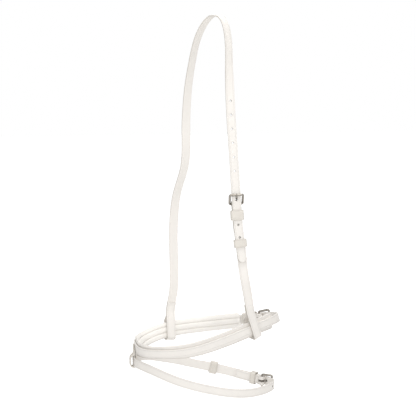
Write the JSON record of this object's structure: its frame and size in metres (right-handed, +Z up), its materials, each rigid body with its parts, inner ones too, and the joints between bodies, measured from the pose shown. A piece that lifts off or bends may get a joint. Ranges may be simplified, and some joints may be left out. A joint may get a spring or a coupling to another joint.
{
  "type": "hanoverian noseband",
  "caption": "Padded leather noseband on a long sliphead, with a loop at its front that carries a narrow lower strap, each part closed by a wire buckle.",
  "frame": {"origin": "middle of the flat underside of the crown, where the sliphead rests over the poll", "axes": "+Z up, -X towards the nose, -Y the near (left) side of the horse"},
  "size_m": [0.2218, 0.1605, 0.553],
  "materials": {
    "strap_leather": "smooth white strap leather with eased edges",
    "keeper_leather": "smooth white leather, thinner",
    "lining_leather": "soft matt white lining leather",
    "padding_foam": "matt foam, hidden inside",
    "thread": "waxed white thread",
    "buckle_metal": "bright polished stainless wire"
  },
  "bodies": {
    "sliphead": {"crown_strap": "strap_leather", "near_cheek_strap": "strap_leather", "crown_fixed_keeper": "keeper_leather"},
    "crown_frame": {"crown_buckle_frame": "buckle_metal"},
    "crown_tongue": {"crown_buckle_tongue": "buckle_metal"},
    "crown_slider": {"crown_runner": "keeper_leather"},
    "noseband": {"noseband_strap": "strap_leather", "noseband_panel": "strap_leather", "noseband_lining": "lining_leather", "noseband_padding": "padding_foam", "noseband_upper_stitching": "thread", "noseband_lower_stitching": "thread", "noseband_fixed_keeper": "keeper_leather", "flash_loop": "keeper_leather"},
    "noseband_frame": {"noseband_buckle_frame": "buckle_metal"},
    "noseband_tongue": {"noseband_buckle_tongue": "buckle_metal"},
    "noseband_slider": {"noseband_runner": "keeper_leather"},
    "lower": {"lower_strap": "strap_leather", "lower_fixed_keeper": "keeper_leather"},
    "lower_frame": {"lower_buckle_frame": "buckle_metal"},
    "lower_tongue": {"lower_buckle_tongue": "buckle_metal"},
    "lower_slider": {"lower_runner": "keeper_leather"}
  },
  "joints": [
    {"name": "crown_frame_hinge", "type": "hinge", "parent": "sliphead", "child": "crown_frame", "pos_m": [0.018, -0.06115, -0.26264], "axis": [0.9988, -0.0286, 0.0409], "range_deg": [0, 3]},
    {"name": "crown_tongue_hinge", "type": "hinge", "parent": "crown_frame", "child": "crown_tongue", "pos_m": [0.018, -0.06115, -0.26264], "axis": [0.9988, -0.0286, 0.0409], "range_deg": [0, 3]},
    {"name": "crown_runner_slide", "type": "slide", "parent": "sliphead", "child": "crown_slider", "axis": [0.1117, -0.1045, -0.9882], "range_m": [-0.008, 0.012]},
    {"name": "noseband_tilt", "type": "hinge", "parent": "sliphead", "child": "noseband", "pos_m": [-0.05787, 0.06529, -0.46575], "axis": [0.6043, -0.7833, 0.1456], "range_deg": [-4, 2]},
    {"name": "noseband_frame_hinge", "type": "hinge", "parent": "noseband", "child": "noseband_frame", "pos_m": [0.07359, 0.03673, -0.44746], "axis": [-0.2223, 0.0605, 0.9731], "range_deg": [0, 3]},
    {"name": "noseband_tongue_hinge", "type": "hinge", "parent": "noseband_frame", "child": "noseband_tongue", "pos_m": [0.07359, 0.03673, -0.44746], "axis": [-0.2223, 0.0605, 0.9731], "range_deg": [0, 3]},
    {"name": "noseband_runner_slide", "type": "slide", "parent": "noseband", "child": "noseband_slider", "axis": [-0.8393, 0.5092, -0.1907], "range_m": [-0.001, 0.0025]},
    {"name": "lower_swing", "type": "hinge", "parent": "noseband", "child": "lower", "pos_m": [-0.122, -0.003, -0.4972], "axis": [0, 1, 0], "range_deg": [-5, 5]},
    {"name": "lower_frame_hinge", "type": "hinge", "parent": "lower", "child": "lower_frame", "pos_m": [0.07306, 0.0198, -0.53906], "axis": [0.0379, -0.0514, 0.998], "range_deg": [0, 3]},
    {"name": "lower_tongue_hinge", "type": "hinge", "parent": "lower_frame", "child": "lower_tongue", "pos_m": [0.07306, 0.0198, -0.53906], "axis": [0.0379, -0.0514, 0.998], "range_deg": [0, 3]},
    {"name": "lower_runner_slide", "type": "slide", "parent": "lower", "child": "lower_slider", "axis": [-0.9639, 0.1358, 0.2289], "range_m": [-0.004, 0.004]}
  ]
}
